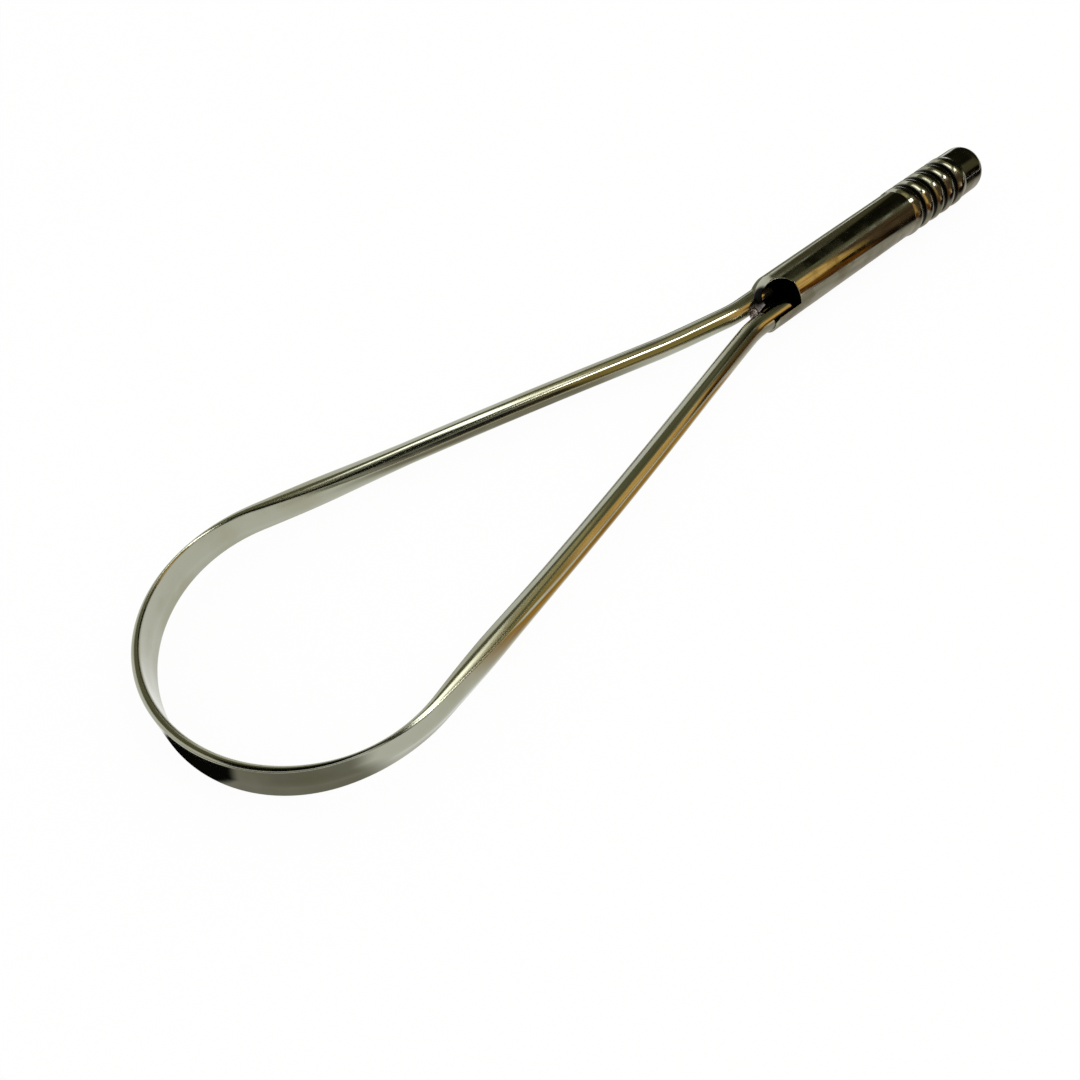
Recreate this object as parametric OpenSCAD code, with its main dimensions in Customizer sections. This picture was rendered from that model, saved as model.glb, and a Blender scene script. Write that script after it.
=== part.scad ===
// Tongue scraper: a turned round handle and one wire bent into a teardrop loop.
// The handle lies along +X, the loop reaches toward -X, and the scraping strip stands on edge.

/* [Handle] */
// Diameter of the plain round handle, mm
handle_diameter = 8; // [7.4:0.1:10]
// Length of the handle from the front of the nose's dome to the end of the butt, mm
handle_length = 54.1; // [50:0.1:90]
// Radius that rounds the edge of the butt, mm
butt_rounding = 1.5; // [0.4:0.1:3]
// Distance from the handle's axis to the centre of the dome that rounds the nose, mm
dome_offset = 1.1; // [0.1:0.05:1.6]
// Direction of that distance, turned from straight down toward the near arm, degrees
dome_lean = 57; // [0:1:90]
// Amount by which the dome reaches past the handle's side on the far side, mm
dome_spare = 0.1; // [0.05:0.05:1]

/* [Grip rings] */
// Number of raised rings near the butt
ring_count = 5; // [2:1:7]
// Distance from one ring to the next, mm
ring_pitch = 2.88; // [2.4:0.02:4]
// Height of a ring's crest over the plain handle, mm
ring_height = 0.25; // [0.1:0.05:0.6]
// Radius of a ring's rounded crest, mm
ring_crest_radius = 1.8; // [0.8:0.05:1.9]
// Depth of the valleys between the rings below the plain handle, mm
valley_depth = 0.15; // [0.05:0.05:0.4]
// Distance from the last ring's crest to the end of the butt, mm
butt_to_last_ring = 6.75; // [5:0.05:12]

/* [Seat in the nose] */
// Thickness of the wall left outside the slot that holds both wires, mm
seat_wall = 0.3; // [0.25:0.05:0.4]
// Depth of that slot from the front of the dome, mm
seat_depth = 5.45; // [4.5:0.05:10]
// Height of that slot between the two wires, where it runs into the pocket, mm
slot_height = 1.6; // [1:0.1:3]
// Width of the groove that opens the near end of the slot, mm
groove_width = 3; // [2.6:0.05:3.1]
// Distance from the front of the dome to the end of that groove, mm
groove_end = 6; // [5.5:0.05:10]
// Direction in which that groove opens, turned from straight up toward the near arm, degrees
groove_lean = 20; // [0:1:40]
// Radius of the round pocket over both wires, mm
pocket_radius = 2.7; // [2.2:0.05:3]
// Distance from the front of the dome to the middle of the pocket, mm
pocket_place = 3.3; // [3:0.05:8]
// Depth of the pocket below the handle's surface, mm
pocket_depth = 4.8; // [3:0.1:5.5]
// Direction in which the pocket opens, turned from straight up toward the near arm, degrees
pocket_lean = 40; // [0:1:60]

/* [Loop] */
// Diameter of the round wire, mm
wire_diameter = 3.2; // [2.6:0.05:3.25]
// Distance from the front of the dome to the middle of the strip at the tip, mm
loop_reach = 103.15; // [90:0.05:130]
// Radius of the wide round end, measured to the middle of the strip, mm
bow_radius = 21; // [17:0.5:24]
// Angle between each arm and the handle's axis, at both ends of the arm, degrees
arm_angle = 13.8; // [10:0.1:18]
// Outward bulge of each arm at its middle, mm
arm_bulge = 0.43; // [0:0.01:1.5]
// Radius of the bend where each arm leaves the nose, mm
neck_bend_radius = 16; // [6:0.5:30]
// Distance in front of the nose at which the arms come parallel, mm
neck_lead = 0.6; // [0:0.05:4]
// Amount by which the tip of the wide end is flatter than a full round, mm
tip_flattening = 0.65; // [0:0.05:2]
// Distance of the loop's middle plane below the handle's axis, mm
seat_drop = 0.8; // [0:0.05:0.9]
// Rise of the far wire's end over the near wire's end in the seat, mm
far_wire_rise = 0.85; // [0:0.05:1]
// Distance from the nose over which that rise runs out, mm
rise_run = 17; // [10:1:50]
// Gap between a wire's end and the bottom of the slot, mm
end_gap = 0.1; // [0.05:0.05:1]

/* [Scraping strip] */
// Height of the flattened strip at the tip, mm
strip_height = 7.2; // [5:0.1:9]
// Thickness of the flattened strip, mm
strip_thickness = 1.2; // [0.8:0.05:1.6]
// Distance along the wire from the tip over which the strip's height runs out, mm
height_run = 60; // [40:1:80]
// Distance along the wire from the tip at which the thickness begins to grow, mm
thin_run = 24; // [10:1:30]
// Distance along the wire from the tip at which the wire is round again, mm
thick_run = 49; // [35:1:70]
// Squareness of the strip's section: 2 is an oval, more is squarer
strip_squareness = 6; // [3:0.5:10]

/* [Fits] */
// Clearance between a wire and the wall of the slot, mm
wire_clearance = 0.04; // [0.02:0.01:0.08]

/* [Fineness] */
// Points round the wire's section
section_points = 16; // [12:4:24]
// Steps along half of the wide round end
bow_steps = 26; // [16:1:36]
// Steps along each arm
arm_steps = 22; // [12:1:32]
// Steps along each bend at the nose
neck_steps = 6; // [4:1:10]

/* [Hidden] */
$fn = 72;
handle_radius = handle_diameter / 2;
hole_radius = wire_diameter / 2 + wire_clearance;
valley_radius = handle_radius - valley_depth;
crest_radius = handle_radius + ring_height;
dome_radius = handle_radius + dome_offset + dome_spare;
wire_radius = wire_diameter / 2;
// Both ends of the slot leave the same wall toward the handle's surface.
wire_throw = handle_radius - seat_wall - hole_radius;
far_wire_drop = seat_drop - far_wire_rise;
near_wire_offset = sqrt(wire_throw * wire_throw - seat_drop * seat_drop);
far_wire_offset = sqrt(wire_throw * wire_throw - far_wire_drop * far_wire_drop);
wire_span = near_wire_offset + far_wire_offset;
wire_end = seat_depth - end_gap;
bow_centre = bow_radius - loop_reach - tip_flattening;
arm_direction = [cos(arm_angle), -sin(arm_angle)];
arm_outward = [sin(arm_angle), cos(arm_angle)];
arm_start = [bow_centre, 0] + bow_radius * arm_outward;
// The whole part sits on z = 0 with its middle over the origin.
tip_outside = loop_reach + strip_thickness / 2;
whole_length = tip_outside + handle_length;
nose_end = tip_outside - whole_length / 2;
loop_height = strip_height / 2;
axis_height = loop_height + seat_drop;
// A small overrun so that cuts pass clean through a surface.
overrun = handle_radius;

function eased(share) =
    let (held = min(max(share, 0), 1))
    held * held * (3 - 2 * held);

function signed_power(value, power) =
    value < 0 ? -pow(-value, power) : pow(value, power);

// Half of the wire's centreline seen from above, from the tip to the end in the seat.
// Each arm leaves the wide end at the arm's angle and meets the bend at the nose at that angle.
// What the angle leaves between the two is made up by a slow sweep across.
function half_line_for(offset) =
    let (arm_end = [-neck_lead, offset + neck_bend_radius] - neck_bend_radius * arm_outward)
    let (arm_length = (arm_end - arm_start) * arm_direction)
    let (arm_sweep = (arm_end - arm_start) * arm_outward)
    concat(
        [for (step = [0:bow_steps])
            let (turn = 180 - (90 + arm_angle) * step / bow_steps)
            let (flat = tip_flattening * eased(1 - step / bow_steps))
            [bow_centre + bow_radius * cos(turn) + flat, bow_radius * sin(turn)]],
        [for (step = [1:arm_steps])
            let (share = step / arm_steps)
            let (bulge = arm_bulge * 16 * pow(share * (1 - share), 2))
            let (across = bulge + arm_sweep * eased(share))
            arm_start + share * arm_length * arm_direction + across * arm_outward],
        [for (step = [1:neck_steps])
            let (turn = arm_angle * (1 - step / neck_steps))
            [-neck_lead - neck_bend_radius * sin(turn),
             offset + neck_bend_radius * (1 - cos(turn))]],
        [[wire_end, offset]]);

near_line = half_line_for(near_wire_offset);
far_line = half_line_for(far_wire_offset);
half_count = len(near_line);

// Distance along the wire from the tip to a point of the near half.
function run_to(index) =
    index == 0 ? 0 : run_to(index - 1) + norm(near_line[index] - near_line[index - 1]);

half_runs = [for (index = [0:half_count - 1]) run_to(index)];

// The whole centreline, from the near arm's end round the tip to the far arm's end.
whole_line = concat(
    [for (index = [half_count - 1:-1:1]) [near_line[index][0], -near_line[index][1], 0]],
    [for (point = far_line) [point[0], point[1], far_wire_rise * eased(1 + point[0] / rise_run)]]);
whole_runs = concat(
    [for (index = [half_count - 1:-1:1]) half_runs[index]],
    half_runs);
whole_count = len(whole_line);

function direction_at(index) =
    let (ahead = whole_line[min(index + 1, whole_count - 1)])
    let (behind = whole_line[max(index - 1, 0)])
    (ahead - behind) / norm(ahead - behind);

function half_height_at(run) =
    wire_radius + (strip_height / 2 - wire_radius) * eased(1 - run / height_run);

function half_thickness_at(run) =
    let (thin_share = eased((thick_run - run) / (thick_run - thin_run)))
    wire_radius + (strip_thickness / 2 - wire_radius) * thin_share;

// One ring of points across the wire.
function section_at(index) =
    let (run = whole_runs[index])
    let (along = direction_at(index))
    let (outward = [-along[1], along[0]])
    let (square_share = eased(1 - run / height_run))
    let (power = 2 / (2 + (strip_squareness - 2) * square_share))
    [for (point = [0:section_points - 1])
        let (turn = 360 * point / section_points)
        let (across = half_thickness_at(run) * signed_power(cos(turn), power))
        let (up = half_height_at(run) * signed_power(sin(turn), power))
        [whole_line[index][0] + across * outward[0],
         whole_line[index][1] + across * outward[1],
         whole_line[index][2] + up]];

wire_points = [for (index = [0:whole_count - 1]) each section_at(index)];

function point_number(index, point) = index * section_points + point % section_points;

wire_faces = concat(
    [for (index = [0:whole_count - 2], point = [0:section_points - 1])
        [point_number(index, point), point_number(index + 1, point), point_number(index + 1, point + 1)]],
    [for (index = [0:whole_count - 2], point = [0:section_points - 1])
        [point_number(index, point), point_number(index + 1, point + 1), point_number(index, point + 1)]],
    [[for (point = [0:section_points - 1]) point]],
    [[for (point = [section_points - 1:-1:0]) point_number(whole_count - 1, point)]]);

// The slot for both wires, open over the near one.
module wire_slot() {
    union() {
        rotate([0, 90, 0])
            cylinder(r = hole_radius, h = overrun + seat_depth);
        rotate([groove_lean, 0, 0])
            translate([0, -groove_width / 2, 0])
                cube([overrun + groove_end, groove_width, handle_diameter]);
        rotate([atan2(far_wire_rise, wire_span), 0, 0])
            translate([0, 0, -slot_height / 2])
                cube([overrun + pocket_place, norm([wire_span, far_wire_rise]), slot_height]);
        translate([0, wire_span, far_wire_rise])
            rotate([0, 90, 0])
                cylinder(r = hole_radius, h = overrun + seat_depth);
    }
}

// The handle's outline on one side of its axis, nose end at the bottom.
module handle_outline() {
    first_ring = handle_length - butt_to_last_ring - (ring_count - 1) * ring_pitch;
    union() {
        difference() {
            union() {
                square([handle_radius, handle_length - butt_rounding]);
                square([handle_radius - butt_rounding, handle_length]);
                translate([handle_radius - butt_rounding, handle_length - butt_rounding])
                    circle(r = butt_rounding);
            }
            translate([valley_radius, first_ring])
                square([handle_radius, (ring_count - 1) * ring_pitch]);
        }
        for (ring = [0:ring_count - 1])
            translate([crest_radius - ring_crest_radius, first_ring + ring * ring_pitch])
                circle(r = ring_crest_radius);
    }
}

module handle() {
    color([0.62, 0.62, 0.58])
        translate([nose_end, 0, axis_height])
            difference() {
                union() {
                    // the nose, rounded by a dome that is set off the axis
                    intersection() {
                        rotate([0, 90, 0])
                            cylinder(r = handle_radius, h = dome_radius);
                        translate([dome_radius, 0, 0])
                            rotate([-dome_lean, 0, 0])
                                translate([0, 0, -dome_offset])
                                    sphere(r = dome_radius);
                    }
                    intersection() {
                        rotate([0, 90, 0])
                            rotate_extrude()
                                handle_outline();
                        translate([dome_radius, -handle_diameter, -handle_diameter])
                            cube([handle_length, handle_diameter * 2, handle_diameter * 2]);
                    }
                }
                // the slot for both wires
                translate([-overrun, -near_wire_offset, -seat_drop])
                    wire_slot();
                // the round pocket over both wires
                rotate([pocket_lean, 0, 0])
                    translate([pocket_place, 0, handle_radius - pocket_depth])
                        cylinder(r = pocket_radius, h = handle_diameter);
            }
}

module scraping_loop() {
    color([0.66, 0.66, 0.61])
        translate([nose_end, 0, loop_height])
            polyhedron(points = wire_points, faces = wire_faces, convexity = 6);
}

handle();
scraping_loop();
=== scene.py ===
import math

import bpy
import bmesh
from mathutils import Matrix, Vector


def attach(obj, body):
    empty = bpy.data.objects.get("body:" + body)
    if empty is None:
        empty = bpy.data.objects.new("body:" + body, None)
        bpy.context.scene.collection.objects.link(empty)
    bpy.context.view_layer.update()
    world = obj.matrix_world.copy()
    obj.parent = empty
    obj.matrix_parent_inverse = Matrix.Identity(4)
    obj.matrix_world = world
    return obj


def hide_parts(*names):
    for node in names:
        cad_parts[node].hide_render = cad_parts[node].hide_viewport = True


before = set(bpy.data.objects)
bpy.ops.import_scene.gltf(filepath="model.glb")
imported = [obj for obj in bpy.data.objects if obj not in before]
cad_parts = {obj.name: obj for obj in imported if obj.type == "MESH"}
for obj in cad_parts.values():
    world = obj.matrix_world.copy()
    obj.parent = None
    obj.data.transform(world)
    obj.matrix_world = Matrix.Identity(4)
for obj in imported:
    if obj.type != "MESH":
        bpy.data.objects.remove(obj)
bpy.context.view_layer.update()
mm = 0.001
hair = 0.01 * mm  # places nearer than this are the same
print("frame loaded:", sorted(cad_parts))


# small helpers

def dropSelection():
    if bpy.context.object and bpy.context.object.mode != "OBJECT":
        bpy.ops.object.mode_set(mode="OBJECT")
    bpy.ops.object.select_all(action="DESELECT")


def pick(piece):
    dropSelection()
    piece.select_set(True)
    bpy.context.view_layer.objects.active = piece


def openMesh(piece):
    pick(piece)
    bpy.ops.object.mode_set(mode="EDIT")


def closeMesh():
    bpy.ops.object.mode_set(mode="OBJECT")


def selectWhere(piece, test):
    # points are chosen by their place, as a box select would
    points = bmesh.from_edit_mesh(piece.data)
    bpy.ops.mesh.select_mode(type="VERT")
    for point in points.verts:
        point.select_set(bool(test(point.co)))
    points.select_flush_mode()
    bmesh.update_edit_mesh(piece.data)


def settle(piece):
    # puts the object at the origin, unturned, with its place in its mesh
    pick(piece)
    bpy.ops.object.transform_apply(location=True, rotation=True, scale=True)


def applyModifier(piece, modifier):
    pick(piece)
    bpy.ops.object.modifier_apply(modifier=modifier.name)


def cut(piece, tool, operation):
    modifier = piece.modifiers.new("cut", "BOOLEAN")
    modifier.operation = operation
    modifier.solver = "EXACT"
    modifier.object = tool
    applyModifier(piece, modifier)
    bpy.data.objects.remove(tool)


def eased(share):
    held = min(max(share, 0), 1)
    return held * held * (3 - 2 * held)


# camera, matched to the photograph

camera = {
    "place": (-79.33, -78.91, 109.34),  # mm
    "turn": (38.929, 4.067, -41.478),   # degrees
    "lens": 34.776,
    "sensor": 36,
    "clip": (0.005, 20),                # m
}

cameraData = bpy.data.cameras.new("camera")
cameraData.lens = camera["lens"]
cameraData.sensor_width = camera["sensor"]
cameraData.clip_start, cameraData.clip_end = camera["clip"]
cameraObject = bpy.data.objects.new("camera", cameraData)
cameraObject.location = Vector(camera["place"]) * mm
cameraObject.rotation_euler = [math.radians(angle) for angle in camera["turn"]]
bpy.context.scene.collection.objects.link(cameraObject)
bpy.context.scene.camera = cameraObject
print("camera placed")


# handle: a turned rod with grip rings, and a domed nose with a slot, a groove and a round pocket

# mm and degrees; the rings are counted from the butt, and the nose's cuts from the front of the dome
handle = {
    "buttX": 78.925, "noseX": 24.825, "axisZ": 4.4,
    "radius": 4.0, "sides": 144,
    "buttRounding": 1.5, "knobTaper": 0.06,
    "lastRing": 6.75, "ringPitch": 2.88, "ringCount": 5,
    "crestRadius": 4.25, "valleyRadius": 3.85, "ringHalfWidth": 1.25, "ringFullness": 1.35,
    "roundingSteps": 10, "knobStep": 0.5, "knobSteps": 7,
    "ringMargin": 1.4, "ringSteps": 160, "plainSteps": 24,
    "domeRadius": 5.2, "domeOffset": 1.1, "domeLean": 57, "domeTail": 70,
    "domeSides": 160, "domeRings": 120,
    "holeRadius": 1.64, "holeDepth": 5.45, "holeSides": 96, "slotHeight": 1.6,
    "nearHole": (-1.898, -0.8), "farHole": (2.0594, 0.05),  # across and up from the axis
    "grooveWidth": 3.0, "grooveEnd": 6.0, "grooveLean": 20,
    "pocketRadius": 2.7, "pocketPlace": 3.3, "pocketFloor": -0.8, "pocketLean": 40,
    "pocketSides": 128,
    "toolLead": 4, "toolHeight": 8,
}


def handleRadiusAt(distance):
    # the distance is along the handle, from the butt
    rounding = handle["buttRounding"]
    knob = handle["radius"] - handle["knobTaper"]
    if distance < rounding:
        drop = rounding - distance
        return knob - rounding + math.sqrt(max(rounding ** 2 - drop ** 2, 0))
    firstCrest = handle["lastRing"]
    lastCrest = firstCrest + (handle["ringCount"] - 1) * handle["ringPitch"]
    plain = knob + handle["knobTaper"] * eased((distance - rounding) / (firstCrest - rounding))
    inRings = firstCrest <= distance <= lastCrest
    base = handle["valleyRadius"] if inRings else plain
    nearest = round((distance - firstCrest) / handle["ringPitch"])
    nearest = min(max(nearest, 0), handle["ringCount"] - 1)
    away = abs(distance - firstCrest - nearest * handle["ringPitch"]) / handle["ringHalfWidth"]
    rise = handle["crestRadius"] - base
    return base + rise * max(1 - away ** 2, 0) ** handle["ringFullness"]


def stationsAlongHandle():
    # close together where the outline curves, and wide apart along the plain part
    rounding = handle["buttRounding"]
    turn = 90 / handle["roundingSteps"]
    distances = [
        rounding * (1 - math.cos(math.radians(turn * step)))
        for step in range(1, handle["roundingSteps"] + 1)]
    distances += [rounding + handle["knobStep"] * step for step in range(1, handle["knobSteps"] + 1)]
    lastCrest = handle["lastRing"] + (handle["ringCount"] - 1) * handle["ringPitch"]
    ringsFrom = handle["lastRing"] - handle["ringMargin"]
    ringsTo = lastCrest + handle["ringMargin"]
    count = handle["ringSteps"]
    distances += [ringsFrom + (ringsTo - ringsFrom) * step / count for step in range(count + 1)]
    plain = handle["buttX"] - handle["noseX"] - ringsTo
    count = handle["plainSteps"]
    distances += [ringsTo + plain * step / count for step in range(1, count + 1)]
    return distances


def makeHandle():
    butt = Vector((handle["buttX"], 0, handle["axisZ"])) * mm
    flat = handleRadiusAt(0) * mm
    dropSelection()
    bpy.ops.mesh.primitive_circle_add(
        vertices=handle["sides"], radius=flat, fill_type="NGON",
        location=butt, rotation=(0, math.radians(90), 0))
    piece = bpy.context.object
    piece.name = "handle_polished"
    settle(piece)
    openMesh(piece)
    bpy.ops.mesh.select_all(action="SELECT")
    radius = flat
    place = 0
    for distance in stationsAlongHandle():
        bpy.ops.mesh.extrude_region_move(
            TRANSFORM_OT_translate={"value": (-(distance - place) * mm, 0, 0)})
        wanted = handleRadiusAt(distance) * mm
        centre = butt - Vector((distance * mm, 0, 0))
        share = wanted / radius
        bpy.ops.transform.resize(value=(1, share, share), center_override=centre)
        radius = wanted
        place = distance
    bpy.ops.mesh.select_all(action="SELECT")
    bpy.ops.mesh.normals_make_consistent(inside=False)
    closeMesh()
    return piece


def makeDomeTool():
    # a ball whose back half is drawn out into a bullet that covers the rest of the handle
    radius = handle["domeRadius"]
    lean = math.radians(handle["domeLean"])
    offset = Vector((0, -math.sin(lean), -math.cos(lean))) * handle["domeOffset"]
    centre = (Vector((handle["noseX"] + radius, 0, handle["axisZ"])) + offset) * mm
    dropSelection()
    bpy.ops.mesh.primitive_uv_sphere_add(
        segments=handle["domeSides"], ring_count=handle["domeRings"], radius=radius * mm,
        location=centre, rotation=(0, math.radians(90), 0))
    tool = bpy.context.object
    settle(tool)
    openMesh(tool)
    selectWhere(tool, lambda place: place.x > centre.x + hair)
    bpy.ops.transform.translate(value=(handle["domeTail"] * mm, 0, 0))
    closeMesh()
    return tool


def nosePlace(along, across, up):
    # a place counted from the front of the dome and from the handle's axis
    return Vector((handle["noseX"] + along, across, handle["axisZ"] + up)) * mm


def makeHoleTool(hole):
    dropSelection()
    front, back = -handle["toolLead"], handle["holeDepth"]
    bpy.ops.mesh.primitive_cylinder_add(
        vertices=handle["holeSides"], radius=handle["holeRadius"] * mm, depth=(back - front) * mm,
        location=nosePlace((front + back) / 2, *hole), rotation=(0, math.radians(90), 0))
    tool = bpy.context.object
    settle(tool)
    return tool


def makeBoxTool(start, lean, size):
    # a box that starts ahead of the nose, resting on a line through start and turned about it
    dropSelection()
    length, width, height = size
    turned = Vector((0, -math.sin(lean), math.cos(lean)))
    centre = nosePlace(length / 2 - handle["toolLead"], *start) + turned * height / 2 * mm
    bpy.ops.mesh.primitive_cube_add(size=1 * mm, location=centre, rotation=(lean, 0, 0))
    tool = bpy.context.object
    tool.scale = (length, width, height)
    settle(tool)
    return tool


def makeSlotTool():
    # joins the two wire holes
    near, far = Vector(handle["nearHole"]), Vector(handle["farHole"])
    lean = math.atan2(far.y - near.y, far.x - near.x) - math.radians(90)
    length = handle["toolLead"] + handle["pocketPlace"]
    return makeBoxTool(near, lean, (length, handle["slotHeight"], (far - near).length))


def makeGrooveTool():
    # opens the near hole at the top
    size = (handle["toolLead"] + handle["grooveEnd"], handle["grooveWidth"], handle["toolHeight"])
    return makeBoxTool(handle["nearHole"], math.radians(handle["grooveLean"]), size)


def makePocketTool():
    dropSelection()
    lean = math.radians(handle["pocketLean"])
    height = handle["toolHeight"]
    middle = handle["pocketFloor"] + height / 2
    bpy.ops.mesh.primitive_cylinder_add(
        vertices=handle["pocketSides"], radius=handle["pocketRadius"] * mm, depth=height * mm,
        location=nosePlace(handle["pocketPlace"], -math.sin(lean) * middle, math.cos(lean) * middle),
        rotation=(lean, 0, 0))
    tool = bpy.context.object
    settle(tool)
    return tool


# the joint's metal, run together between the two wires
bead = {
    "middle": (0.7, 0.1, -0.6), "reach": (1.6, 0.85, 1.0), "sides": 48, "rings": 32,
    "unevenness": 0.12, "lumpSize": 0.8,
}


def makeBead():
    dropSelection()
    bpy.ops.mesh.primitive_uv_sphere_add(
        segments=bead["sides"], ring_count=bead["rings"], radius=1 * mm,
        location=nosePlace(*bead["middle"]))
    piece = bpy.context.object
    piece.scale = bead["reach"]
    settle(piece)
    lumps = bpy.data.textures.new("lumps", "CLOUDS")
    lumps.noise_scale = bead["lumpSize"] * mm
    uneven = piece.modifiers.new("uneven", "DISPLACE")
    uneven.texture = lumps
    uneven.texture_coords = "LOCAL"
    uneven.strength = bead["unevenness"] * mm
    applyModifier(piece, uneven)
    return piece


handlePiece = makeHandle()
print("handle turned:", len(handlePiece.data.polygons), "faces")
cut(handlePiece, makeDomeTool(), "INTERSECT")
for tool in (makeHoleTool(handle["nearHole"]), makeHoleTool(handle["farHole"]), makeSlotTool(),
             makeGrooveTool(), makePocketTool()):
    cut(handlePiece, tool, "DIFFERENCE")
cut(handlePiece, makeBead(), "UNION")
print("nose cut:", len(handlePiece.data.polygons), "faces")


# loop: one wire, round in the arms and rolled flat round the wide end

# mm and degrees; reach, neckLead and riseRun are counted from the nose, and the other runs from the tip
# along the wire
loop = {
    "reach": 103.15, "bowRadius": 21, "armAngle": 13.8, "armBulge": 0.43,
    "neckBendRadius": 16, "neckLead": 0.6, "tipFlattening": 0.65,
    "farRise": 0.85, "riseRun": 17, "endGap": 0.1,
    "wireRadius": 1.6,
    "stripHeight": 7.2, "stripThickness": 1.2,
    "heightRun": 60, "thinRun": 24, "thickRun": 49,
    "bowSteps": 96, "armSteps": 140, "neckSteps": 16, "seatSteps": 6,
    "edgeSteps": 10, "flatSteps": 10, "lengthSteps": 420, "edgeShare": 0.98,
    "endRounding": 0.7, "endSteps": 8,
}


def halfLine(offset):
    # the middle of the wire seen from above, from the tip to the end in the seat
    angle = math.radians(loop["armAngle"])
    radius = loop["bowRadius"]
    bend = loop["neckBendRadius"]
    along = Vector((math.cos(angle), -math.sin(angle)))
    outward = Vector((math.sin(angle), math.cos(angle)))
    bowX = radius - loop["reach"] - loop["tipFlattening"]
    armStart = Vector((bowX, 0)) + outward * radius
    armEnd = Vector((-loop["neckLead"], offset + bend)) - outward * bend
    length = (armEnd - armStart).dot(along)
    sweep = (armEnd - armStart).dot(outward)
    line = []
    count = loop["bowSteps"]
    for step in range(count + 1):
        turn = math.pi - (math.pi / 2 + angle) * step / count
        flat = loop["tipFlattening"] * eased(1 - step / count)
        line.append(Vector((bowX + radius * math.cos(turn) + flat, radius * math.sin(turn))))
    count = loop["armSteps"]
    for step in range(1, count + 1):
        # the bulge is whole half way along the arm and nothing at its ends
        share = step / count
        bulge = 16 * (share * (1 - share)) ** 2
        across = loop["armBulge"] * bulge + sweep * eased(share)
        line.append(armStart + along * length * share + outward * across)
    count = loop["neckSteps"]
    for step in range(1, count + 1):
        turn = angle * (1 - step / count)
        place = (-loop["neckLead"] - bend * math.sin(turn), offset + bend * (1 - math.cos(turn)))
        line.append(Vector(place))
    end = handle["holeDepth"] - loop["endGap"]
    count = loop["seatSteps"]
    for step in range(1, count + 1):
        line.append(Vector((-loop["neckLead"] + (end + loop["neckLead"]) * step / count, offset)))
    return line


def wholeLine():
    # from the near end round the tip to the far end, with the number of the tip's point
    near = halfLine(-handle["nearHole"][0])
    far = halfLine(handle["farHole"][0])
    height = loop["stripHeight"] / 2
    line = [Vector((place.x, -place.y, height)) for place in reversed(near[1:])]
    for place in far:
        rise = loop["farRise"] * eased(1 + place.x / loop["riseRun"])
        line.append(Vector((place.x, place.y, height + rise)))
    for place in line:
        place.x += handle["noseX"]
    return line, len(near) - 1


def makePath(line):
    path = bpy.data.curves.new("loopPath", "CURVE")
    path.dimensions = "3D"
    path.twist_mode = "Z_UP"
    spline = path.splines.new("POLY")
    spline.points.add(len(line) - 1)
    for point, place in zip(spline.points, line):
        point.co = (*(place * mm), 1)
    thing = bpy.data.objects.new("loopPath", path)
    bpy.context.scene.collection.objects.link(thing)
    return thing


def sectionAt(run):
    # half height, half thickness and roundness of the wire at this distance from the tip
    heightShare = eased(1 - run / loop["heightRun"])
    thinShare = eased((loop["thickRun"] - run) / (loop["thickRun"] - loop["thinRun"]))
    flatShare = math.sqrt(heightShare)
    thinning = thinShare / flatShare if flatShare else 0
    wire = loop["wireRadius"]
    halfHeight = wire + (loop["stripHeight"] / 2 - wire) * flatShare
    halfThick = wire + (loop["stripThickness"] / 2 - wire) * thinning
    return halfHeight, halfThick, 1 - flatShare


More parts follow.
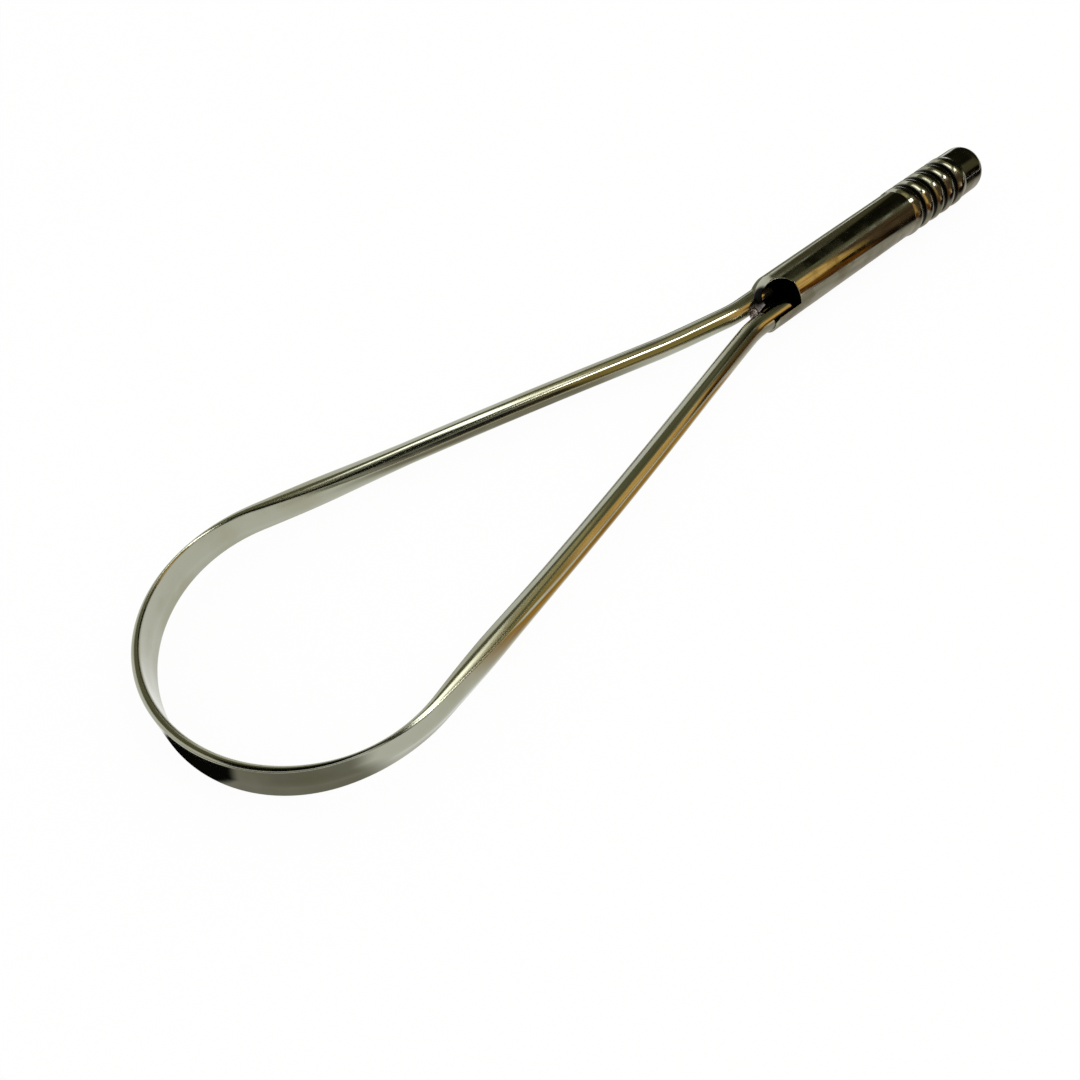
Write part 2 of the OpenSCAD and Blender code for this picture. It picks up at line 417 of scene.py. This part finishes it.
def makeLoop():
    line, tip = wholeLine()
    runs = [0]
    for before, after in zip(line, line[1:]):
        runs.append(runs[-1] + (after - before).length)
    length = runs[-1]
    middle = runs[tip]
    rounding = loop["endRounding"]
    step = (length - 2 * rounding) / loop["lengthSteps"]

    # a short flat bar standing on end, with its long edges rolled round
    dropSelection()
    bpy.ops.mesh.primitive_cube_add(size=1 * mm, location=(0, 0, (rounding + step / 2) * mm))
    piece = bpy.context.object
    piece.name = "loop_polished"
    piece.scale = (loop["stripHeight"], loop["stripThickness"], step)
    settle(piece)
    openMesh(piece)
    bpy.ops.mesh.select_mode(type="EDGE")
    bpy.ops.mesh.select_all(action="DESELECT")
    mesh = bmesh.from_edit_mesh(piece.data)
    for edge in mesh.edges:
        ends = edge.verts[0].co - edge.verts[1].co
        edge.select_set(abs(ends.x) > loop["stripHeight"] / 2 * mm)
    bpy.ops.mesh.subdivide(number_cuts=loop["flatSteps"] - 1)
    bpy.ops.mesh.select_all(action="DESELECT")
    mesh = bmesh.from_edit_mesh(piece.data)
    for edge in mesh.edges:
        ends = edge.verts[0].co - edge.verts[1].co
        atCorner = abs(edge.verts[0].co.x) > loop["stripHeight"] / 2 * mm - hair
        edge.select_set(abs(ends.z) > hair and atCorner)
    bmesh.update_edit_mesh(piece.data)
    bpy.ops.mesh.bevel(
        offset=loop["stripThickness"] / 2 * loop["edgeShare"] * mm, segments=loop["edgeSteps"],
        profile=0.5, affect="EDGES")

    # its end is drawn out to the wire's whole length, one step at a time
    bpy.ops.mesh.select_mode(type="VERT")
    selectWhere(piece, lambda place: place.z > (rounding + step * 0.5) * mm)
    for number in range(loop["lengthSteps"] - 1):
        bpy.ops.mesh.extrude_region_move(TRANSFORM_OT_translate={"value": (0, 0, step * mm)})

    # each ring is scaled to the height and thickness that the wire has there
    mesh = bmesh.from_edit_mesh(piece.data)
    rings = {}
    for point in mesh.verts:
        rings.setdefault(round((point.co.z / mm - rounding) / step), []).append(point)
    for number, ring in rings.items():
        height = rounding + number * step
        halfHeight, halfThick = sectionAt(abs(height - middle))[:2]
        bpy.ops.mesh.select_all(action="DESELECT")
        for point in ring:
            point.select_set(True)
        mesh.select_flush_mode()
        scale = (halfHeight / loop["stripHeight"] * 2, halfThick / loop["stripThickness"] * 2, 1)
        bpy.ops.transform.resize(value=scale, center_override=(0, 0, height * mm))
    closeMesh()

    # the arms are drawn round by a Cast modifier that leaves the strip alone
    group = piece.vertex_groups.new(name="round")
    for point in piece.data.vertices:
        roundness = sectionAt(abs(point.co.z / mm - middle))[2]
        group.add([point.index], roundness, "REPLACE")
    drawing = piece.modifiers.new("draw round", "CAST")
    drawing.cast_type = "CYLINDER"
    drawing.use_z = False
    drawing.factor = 1
    drawing.use_radius_as_size = False
    drawing.size = loop["wireRadius"] * mm
    drawing.vertex_group = "round"
    applyModifier(piece, drawing)
    piece.vertex_groups.clear()

    # both ends are rounded over
    for side in (-1, 1):
        openMesh(piece)
        heights = [point.co.z for point in piece.data.vertices]
        end = max(heights) if side > 0 else min(heights)
        selectWhere(piece, lambda place: abs(place.z - end) < hair)
        radius = loop["wireRadius"]
        for number in range(1, loop["endSteps"] + 1):
            turn = math.radians(90) * number / loop["endSteps"]
            before = math.radians(90) * (number - 1) / loop["endSteps"]
            move = side * rounding * (math.sin(turn) - math.sin(before)) * mm
            end += move
            bpy.ops.mesh.extrude_region_move(TRANSFORM_OT_translate={"value": (0, 0, move)})
            wanted = loop["wireRadius"] - rounding * (1 - math.cos(turn))
            share = wanted / radius
            bpy.ops.transform.resize(value=(share, share, 1), center_override=(0, 0, end))
            radius = wanted
        closeMesh()

    # laid down along X and bent along the loop's line
    piece.rotation_euler = (0, math.radians(90), 0)
    settle(piece)
    openMesh(piece)
    bpy.ops.mesh.select_all(action="SELECT")
    bpy.ops.mesh.normals_make_consistent(inside=False)
    closeMesh()
    # the straight wire's place is kept, in mm, so that its finish can run along it
    kept = piece.data.attributes.new("alongWire", "FLOAT_VECTOR", "POINT")
    for point, value in zip(piece.data.vertices, kept.data):
        value.vector = point.co / mm
    path = makePath(line)
    bend = piece.modifiers.new("bend", "CURVE")
    bend.object = path
    bend.deform_axis = "POS_X"
    applyModifier(piece, bend)
    bpy.data.objects.remove(path)
    return piece


loopPiece = makeLoop()
print("wire bent:", len(loopPiece.data.polygons), "faces")

smoothAngle = 35
places = (
    (handlePiece, "handle", "handle_steel"),
    (loopPiece, "scraping_loop", "loop_steel"),
)
for piece, node, slot in places:
    pick(piece)
    bpy.ops.object.shade_smooth_by_angle(angle=math.radians(smoothAngle))
    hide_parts(node)
    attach(piece, "root")


# finishes

def linear(hexColour):
    channels = [int(hexColour[place:place + 2], 16) / 255 for place in (1, 3, 5)]
    return [c / 12.92 if c <= 0.04045 else ((c + 0.055) / 1.055) ** 2.4 for c in channels] + [1]


def addNode(tree, kind, settings=None, **links):
    # settings are the node's own values, and links go to its sockets by name or, as i0, by number
    node = tree.nodes.new(kind)
    for name, value in (settings or {}).items():
        setattr(node, name, value)
    for name, value in links.items():
        byNumber = name[0] == "i" and name[1:].isdigit()
        socket = node.inputs[int(name[1:])] if byNumber else node.inputs[name.replace("_", " ")]
        if isinstance(value, bpy.types.NodeSocket):
            tree.links.new(value, socket)
        else:
            socket.default_value = value
    return node


# polished stainless steel: the eye gets soft edged reflections that wander a little, fine marks left by
# the polishing, duller finger marks, a heat tinted joint, and painted shade, near black, in the grooves
# and pocket.
# Sizes and depths are in mm, and marks are drawn out along the first, second or third axis.
finishes = {
    "handle": {
        "name": "turned stainless steel, polished", "colour": "#a6a796", "smudge": "#8f8e78",
        "roughness": (0.1, 0.22), "smudgeSize": 3.0, "waveSize": 5.0, "waveDepth": 0.014,
        "marks": (0.3, 9.0, 9.0), "markDepth": 0.0014,
    },
    "loop": {
        "name": "drawn stainless wire, polished", "colour": "#a6a796", "smudge": "#9c9b87",
        "roughness": (0.1, 0.16), "smudgeSize": 9.0, "waveSize": 9.0, "waveDepth": 0.014,
        "marks": (12.0, 0.3, 0.3), "markDepth": 0.0012, "place": "alongWire",
    },
}

smudgeFade = (0.42, 0.66)
softEdge = 0.15

# places and reaches in mm in the frame: full up to the first number of a reach and gone at the second
joint = {
    # the grooves' radius band, the pocket and the rim get painted shade: a near black colour and a duller
    # roughness
    "groovesFrom": 60.6, "groovesTo": 72.2, "grooveShadeRadius": (3.88, 4.08),
    "pocketRadius": (3.78, 3.95), "pocketSkin": (4.98, 5.16), "pocketBeyond": 0.5,
    "paintedShade": "#0a0a08", "paintedShadeRoughness": 0.45,
    "rim": (25.9, 0.4, 6.7), "rimReach": (1.1, 1.9),
    "weld": (25.0, 0.1, 4.0), "weldReach": (1.1, 2.1), "weldColour": "#c2b6b6", "weldRoughness": 0.5,
    "tintMiddle": (24.8, 0.0, 4.0), "tintReach": (1.4, 4.6), "tint": "#8d7f8c",
    "tintPatch": 1.1, "tintFade": (0.45, 0.62),
}


smooth = {"interpolation_type": "SMOOTHSTEP"}
times, larger, above, below = (
    {"operation": name} for name in ("MULTIPLY", "MAXIMUM", "GREATER_THAN", "LESS_THAN"))
inColour = {"data_type": "RGBA"}


def nearness(tree, place, middle, reach, keep=(1, 1, 1)):
    # 1 up to the reach's first distance from the middle, and 0 past its second
    off = addNode(tree, "ShaderNodeVectorMath", {"operation": "SUBTRACT"}, i0=place, i1=middle)
    kept = addNode(tree, "ShaderNodeVectorMath", times, i0=off.outputs[0], i1=keep)
    away = addNode(tree, "ShaderNodeVectorMath", {"operation": "LENGTH"}, i0=kept.outputs[0])
    return addNode(
        tree, "ShaderNodeMapRange", smooth, Value=away.outputs["Value"],
        From_Min=reach[0], From_Max=reach[1], To_Min=1, To_Max=0).outputs[0]


def paintedShadeOnHandle(tree, place):
    # painted shade, near black: in the grip grooves, in the pocket and on the rim between the pocket and
    # the far wire's hole
    axis, around = (0, 0, handle["axisZ"]), (0, 1, 1)
    along = addNode(tree, "ShaderNodeSeparateXYZ", Vector=place).outputs["X"]
    fromRings = addNode(tree, "ShaderNodeMath", above, i0=along, i1=joint["groovesFrom"])
    toRings = addNode(tree, "ShaderNodeMath", below, i0=along, i1=joint["groovesTo"])
    inRings = addNode(tree, "ShaderNodeMath", times, i0=fromRings.outputs[0], i1=toRings.outputs[0])
    deep = nearness(tree, place, axis, joint["grooveShadeRadius"], around)
    grooves = addNode(tree, "ShaderNodeMath", times, i0=deep, i1=inRings.outputs[0])

    # the inside of the nose is what lies under the dome's skin, which runs on straight past its middle
    lean = math.radians(handle["domeLean"])
    ball = (handle["noseX"] + handle["domeRadius"], -math.sin(lean) * handle["domeOffset"],
            handle["axisZ"] - math.cos(lean) * handle["domeOffset"])
    beyond = 99
    held = addNode(
        tree, "ShaderNodeVectorMath", {"operation": "MINIMUM"}, i0=place, i1=(ball[0], beyond, beyond))
    underDome = nearness(tree, held.outputs[0], ball, joint["pocketSkin"])
    underRod = nearness(tree, place, axis, joint["pocketRadius"], around)
    pocketEnd = handle["noseX"] + handle["grooveEnd"] + joint["pocketBeyond"]
    atNose = addNode(tree, "ShaderNodeMath", below, i0=along, i1=pocketEnd)
    inside = addNode(tree, "ShaderNodeMath", times, i0=underRod, i1=underDome)
    pocket = addNode(tree, "ShaderNodeMath", times, i0=inside.outputs[0], i1=atNose.outputs[0])

    rim = nearness(tree, place, joint["rim"], joint["rimReach"])
    paintedShade = addNode(tree, "ShaderNodeMath", larger, i0=grooves.outputs[0], i1=pocket.outputs[0])
    return addNode(tree, "ShaderNodeMath", larger, i0=paintedShade.outputs[0], i1=rim).outputs[0]


def addJoint(tree, place, colour, rough):
    # patches of heat tint round the joint, duller metal on the weld, and painted shade over both
    patches = addNode(tree, "ShaderNodeTexNoise", Vector=place, Scale=1 / joint["tintPatch"], Detail=3)
    patchy = addNode(
        tree, "ShaderNodeMapRange", smooth, Value=patches.outputs["Fac"],
        From_Min=joint["tintFade"][0], From_Max=joint["tintFade"][1], To_Min=1, To_Max=0)
    hot = nearness(tree, place, joint["tintMiddle"], joint["tintReach"])
    tinted = addNode(tree, "ShaderNodeMath", times, i0=hot, i1=patchy.outputs[0]).outputs[0]
    weld = nearness(tree, place, joint["weld"], joint["weldReach"])
    # painted shade, near black, in the grooves, in the pocket and on the rim
    paintedShade = paintedShadeOnHandle(tree, place)
    for share, name in ((tinted, "tint"), (weld, "weldColour"), (paintedShade, "paintedShade")):
        colour = addNode(
            tree, "ShaderNodeMix", inColour, Factor=share, i6=colour, i7=linear(joint[name])).outputs[2]
    for share, name in ((weld, "weldRoughness"), (paintedShade, "paintedShadeRoughness")):
        rough = addNode(tree, "ShaderNodeMix", Factor=share, i2=rough, i3=joint[name]).outputs[0]
    return colour, rough


def makeSteel(finish):
    material = bpy.data.materials.new(finish["name"])
    material.use_nodes = True
    tree = material.node_tree
    shader = tree.nodes["Principled BSDF"]
    inPiece = addNode(tree, "ShaderNodeTexCoord").outputs["Object"]
    inFrame = addNode(
        tree, "ShaderNodeVectorMath", {"operation": "SCALE"}, i0=inPiece, Scale=1 / mm).outputs[0]
    place = inFrame
    if "place" in finish:
        place = addNode(
            tree, "ShaderNodeAttribute", {"attribute_name": finish["place"]}).outputs["Vector"]
    wave = addNode(tree, "ShaderNodeTexNoise", Vector=place, Scale=1 / finish["waveSize"], Detail=1.5)
    smudge = addNode(tree, "ShaderNodeTexNoise", Vector=place, Scale=1 / finish["smudgeSize"], Detail=5)
    stretched = addNode(
        tree, "ShaderNodeMapping", Vector=place, Scale=[1 / size for size in finish["marks"]])
    fine = addNode(tree, "ShaderNodeTexNoise", Vector=stretched.outputs[0], Scale=1, Detail=3)
    clean = addNode(
        tree, "ShaderNodeMapRange", smooth, Value=smudge.outputs["Fac"],
        From_Min=smudgeFade[0], From_Max=smudgeFade[1], To_Min=1, To_Max=0).outputs[0]
    low, high = finish["roughness"]
    rough = addNode(
        tree, "ShaderNodeMath", {"operation": "MULTIPLY_ADD"}, i0=clean, i1=low - high, i2=high).outputs[0]
    colour = addNode(
        tree, "ShaderNodeMix", inColour, Factor=clean,
        i6=linear(finish["smudge"]), i7=linear(finish["colour"])).outputs[2]
    if "place" not in finish:
        colour, rough = addJoint(tree, inFrame, colour, rough)
    rounded = addNode(tree, "ShaderNodeBevel", {"samples": 4}, Radius=softEdge * mm)
    bumpWave = addNode(
        tree, "ShaderNodeBump", Height=wave.outputs["Fac"], Distance=finish["waveDepth"] * mm, Strength=1,
        Normal=rounded.outputs[0])
    bumpFine = addNode(
        tree, "ShaderNodeBump", Height=fine.outputs["Fac"], Distance=finish["markDepth"] * mm, Strength=1,
        Normal=bumpWave.outputs[0])
    tree.links.new(colour, shader.inputs["Base Color"])
    tree.links.new(rough, shader.inputs["Roughness"])
    tree.links.new(bumpFine.outputs[0], shader.inputs["Normal"])
    shader.inputs["Metallic"].default_value = 1
    return material


for piece, name in ((handlePiece, "handle"), (loopPiece, "loop")):
    piece.data.materials.clear()
    piece.data.materials.append(makeSteel(finishes[name]))
print("finishes made")


# floor, surroundings and light

# A polished piece shows the room, so the room is dressed as for a product photograph: a white table and
# horizon, one softbox, and cards that only the metal sees. Its places and sizes are in m.
room = {
    "floor": "#f6f6f4", "floorSize": 12.0, "floorGlow": 0.95, "floorRoughness": 0.9,
    "world": "#e9ebe4", "worldStrength": 1.1,
    "softboxPlace": (0.3, -0.42, 0.8), "softboxSize": (0.26, 0.18), "softboxTurn": 45, "softboxPower": 1.6,
}

# far cards, each in a direction from the object: its way round and its height over the horizon in
# degrees, and its distance, its size and its patches of colour in m
farCards = {
    "oliveCeiling": {"way": 0, "height": 90, "size": (3.6, 3.6), "away": 1.5,
                     "colours": ("#7f7e62", "#605f47"), "soft": 0.1, "patch": 0.5},
    "oliveWall": {"way": 0, "height": 14, "size": (3.4, 1.5), "away": 1.4,
                  "colours": ("#656148", "#4a4630"), "soft": 0.15, "patch": 0.4},
    "greyWall": {"way": -86, "height": 8, "size": (0.9, 1.0), "away": 1.3,
                 "colours": ("#b8b4aa", "#a29f92"), "soft": 0.3, "patch": 0.3},
    "narrowFlag": {"way": -88, "height": 20, "size": (0.26, 1.0), "away": 1.1,
                   "colours": ("#050505", "#0a0a08"), "soft": 0.4, "patch": 0.3},
    "bendLight": {"way": -76, "height": 62, "size": (0.3, 0.16), "away": 1.0,
                  "colours": ("#ffffff", "#e8e8e0"), "strength": 2.2, "soft": 0.5, "patch": 0.1},
    "blackBack": {"way": -146, "height": 52, "size": (0.7, 0.95), "away": 0.5,
                  "colours": ("#050505", "#0c0c0a"), "soft": 0.25, "patch": 0.1},
}

# near cards, close to the object: middle and size in mm, turn about X, Y and Z in degrees, and patches
# of colour in m. A mat lies on the table, and where two mats overlap the higher one shows.
nearCards = {
    "longLight": {"middle": (80, 42, 360), "size": (76, 300), "turn": (0, 0, 0),
                  "colours": ("#ffffff", "#e8e8e0"), "strength": 4.2, "soft": 0.4, "patch": 0.1},
    "warmLight": {"middle": (158, 50, 362), "size": (90, 280), "turn": (0, 0, 0),
                  "colours": ("#cbbf93", "#b0a06c"), "soft": 0.5, "patch": 0.03},
    "blackScreen": {"middle": (120, 18, 62), "size": (84, 125), "turn": (90, 0, 90),
                    "colours": ("#0c0c08", "#201e12"), "soft": 0.3, "patch": 0.03},
    "amberCard": {"middle": (95, -88, 60), "size": (116, 136), "turn": (58.5, 0, 0),
                  "colours": ("#ffd488", "#b0803a"), "strength": 1.35, "soft": 0.35, "patch": 0.014},
    "goldCard": {"middle": (26, -88.5, 60), "size": (50, 136), "turn": (58.5, 0, 0),
                 "colours": ("#bda65c", "#978250"), "soft": 0.4, "patch": 0.014},
    "darkCard": {"middle": (156, -84, 20), "size": (96, 48), "turn": (90, 0, 0),
                 "colours": ("#050302", "#0e0806"), "soft": 0.2, "patch": 0.014},
    "slantBar": {"middle": (60, -32, 11), "size": (50, 16), "turn": (90, 33, 0),
                 "colours": ("#9a5c14", "#3c1c06"), "soft": 0.5, "patch": 0.006},
    "darkMat": {"middle": (110, -46, 0.3), "size": (92, 80), "turn": (0, 0, 0),
                "colours": ("#1c0e08", "#050302"), "soft": 0.22, "patch": 0.01},
    "mauveMat": {"middle": (72, -18, 0.2), "size": (110, 46), "turn": (0, 0, 0),
                 "colours": ("#c4bdb6", "#aaa39a"), "soft": 0.25, "patch": 0.008},
    "greyMat": {"middle": (60, 45, 0.2), "size": (100, 86), "turn": (0, 0, 0),
                "colours": ("#96977e", "#74755e"), "soft": 0.25, "patch": 0.01},
    "amberMat": {"middle": (-8, -22, 0.2), "size": (78, 23), "turn": (0, 0, 14),
                 "colours": ("#e0ac50", "#b88438"), "soft": 0.4, "patch": 0.008},
    "insideMat": {"middle": (-18, 3, 0.2), "size": (60, 24), "turn": (0, 0, 0),
                  "colours": ("#b8b4aa", "#9c988a"), "soft": 0.5, "patch": 0.008},
    "whiteMat": {"middle": (-68, 1, 0.3), "size": (10, 16), "turn": (0, 0, 0),
                 "colours": ("#ffffff", "#f4f4ee"), "strength": 1.9, "soft": 0.6, "patch": 0.01},
    "ringFlag": {"middle": (77, -20, 23), "size": (28, 36), "turn": (90, 0, 0),
                 "colours": ("#6a5540", "#3c2e20"), "soft": 0.4, "patch": 0.006},
    "frontMat": {"middle": (-73, -16, 0.3), "size": (28, 15), "turn": (0, 0, -42),
                 "colours": ("#9c9a90", "#8e8c82"), "soft": 0.35, "patch": 0.01},
    "edgeMat": {"middle": (-106, -46, 0.3), "size": (68, 120), "turn": (0, 0, 40),
                "colours": ("#050505", "#0c0c0a"), "soft": 0.2, "patch": 0.02},
    # painted shadow: a black mat at the foot of the loop's tip stands in for its contact shadow in
    # reflections
    "paintedShadowMat": {"middle": (-79.8, -4.6, 0.6), "size": (6, 14), "turn": (0, 0, 0),
                 "colours": ("#050505", "#0c0c0a"), "soft": 0.25, "patch": 0.01},
}


mottleFade = (0.35, 0.65)


def onlyInReflections(thing):
    thing.visible_camera = False
    thing.visible_diffuse = False
    thing.visible_shadow = False
    thing.visible_transmission = False
    thing.visible_volume_scatter = False


def makeCardMaterial(name, card):
    # evenly lit, mottled between two colours, and faded out toward its edges
    material = bpy.data.materials.new(name)
    material.use_nodes = True
    tree = material.node_tree
    tree.nodes.clear()
    place = addNode(tree, "ShaderNodeTexCoord")
    unit = mm if "middle" in card else 1
    real = addNode(
        tree, "ShaderNodeMapping", Vector=place.outputs["Object"],
        Scale=(card["size"][0] * unit, card["size"][1] * unit, 1))
    mottle = addNode(tree, "ShaderNodeTexNoise", Vector=real.outputs[0], Scale=1 / card["patch"], Detail=4)
    pattern = addNode(
        tree, "ShaderNodeMapRange", Value=mottle.outputs["Fac"],
        From_Min=mottleFade[0], From_Max=mottleFade[1])
    colour = addNode(
        tree, "ShaderNodeMix", inColour, Factor=pattern.outputs[0],
        i6=linear(card["colours"][0]), i7=linear(card["colours"][1]))
    centred = addNode(
        tree, "ShaderNodeMapping", Vector=place.outputs["UV"], Location=(-1, -1, 0), Scale=(2, 2, 1))
    sides = addNode(tree, "ShaderNodeSeparateXYZ", Vector=centred.outputs[0])
    fades = []
    for side in ("X", "Y"):
        out = addNode(tree, "ShaderNodeMath", {"operation": "ABSOLUTE"}, i0=sides.outputs[side])
        fade = addNode(
            tree, "ShaderNodeMapRange", smooth, Value=out.outputs[0],
            From_Min=1 - card["soft"], To_Min=1, To_Max=0)
        fades.append(fade.outputs[0])
    both = addNode(tree, "ShaderNodeMath", times, i0=fades[0], i1=fades[1])
    glow = addNode(
        tree, "ShaderNodeEmission", Color=colour.outputs[2], Strength=card.get("strength", 1))
    clear = addNode(tree, "ShaderNodeBsdfTransparent")
    mixed = addNode(
        tree, "ShaderNodeMixShader", Fac=both.outputs[0], i1=clear.outputs[0], i2=glow.outputs[0])
    addNode(tree, "ShaderNodeOutputMaterial", Surface=mixed.outputs[0])
    return material


def makeCard(name, card):
    if "middle" in card:
        middle = Vector(card["middle"]) * mm
        size = [side * mm for side in card["size"]]
        turn = [math.radians(angle) for angle in card["turn"]]
    else:
        way, height = math.radians(card["way"]), math.radians(card["height"])
        level = math.cos(height)
        direction = Vector((level * math.cos(way), level * math.sin(way), math.sin(height)))
        middle = direction * card["away"]
        size = card["size"]
        turn = direction.to_track_quat("Z", "Y").to_euler()
    dropSelection()
    bpy.ops.mesh.primitive_plane_add(size=1, location=middle, rotation=turn)
    piece = bpy.context.object
    piece.name = name
    piece.scale = (*size, 1)
    piece.data.materials.append(makeCardMaterial(name, card))
    onlyInReflections(piece)


def seenDirectly(tree):
    # 1 for the picture and for what metal or glass shows, 0 for all other light
    ray = addNode(tree, "ShaderNodeLightPath").outputs
    seen = addNode(
        tree, "ShaderNodeMath", larger, i0=ray["Is Camera Ray"], i1=ray["Is Glossy Ray"])
    return addNode(
        tree, "ShaderNodeMath", larger, i0=seen.outputs[0], i1=ray["Is Transmission Ray"]).outputs[0]


dropSelection()
bpy.ops.mesh.primitive_plane_add(size=room["floorSize"], location=(0, 0, 0))
floor = bpy.context.object
floor.name = "floor"
floorPaint = bpy.data.materials.new("matt white table")
floorPaint.use_nodes = True
tree = floorPaint.node_tree
paint = tree.nodes["Principled BSDF"]
paint.inputs["Base Color"].default_value = linear(room["floor"])
paint.inputs["Roughness"].default_value = room["floorRoughness"]
paint.inputs["Specular IOR Level"].default_value = 0
share = addNode(tree, "ShaderNodeMath", times, i0=seenDirectly(tree), i1=room["floorGlow"])
white = addNode(tree, "ShaderNodeEmission", Strength=1)
mixed = addNode(
    tree, "ShaderNodeMixShader", Fac=share.outputs[0], i1=paint.outputs[0], i2=white.outputs[0])
tree.links.new(mixed.outputs[0], tree.nodes["Material Output"].inputs["Surface"])
floor.data.materials.append(floorPaint)

for name, card in (farCards | nearCards).items():
    makeCard(name, card)

lampData = bpy.data.lights.new("softbox", "AREA")
lampData.shape = "RECTANGLE"
lampData.size, lampData.size_y = room["softboxSize"]
lampData.energy = room["softboxPower"]
lamp = bpy.data.objects.new("softbox", lampData)
lamp.location = room["softboxPlace"]
lamp.rotation_euler.z = math.radians(room["softboxTurn"])
bpy.context.scene.collection.objects.link(lamp)

world = bpy.data.worlds.new("room")
bpy.context.scene.world = world
world.use_nodes = True
tree = world.node_tree
usual = tree.nodes["Background"]
usual.inputs["Color"].default_value = linear(room["world"])
usual.inputs["Strength"].default_value = room["worldStrength"]
white = addNode(tree, "ShaderNodeBackground", Color=linear("#ffffff"), Strength=1)
mixed = addNode(
    tree, "ShaderNodeMixShader", Fac=seenDirectly(tree), i1=usual.outputs[0], i2=white.outputs[0])
tree.links.new(mixed.outputs[0], tree.nodes["World Output"].inputs["Surface"])
print("room dressed")

bpy.context.scene.view_settings.view_transform = "Standard"
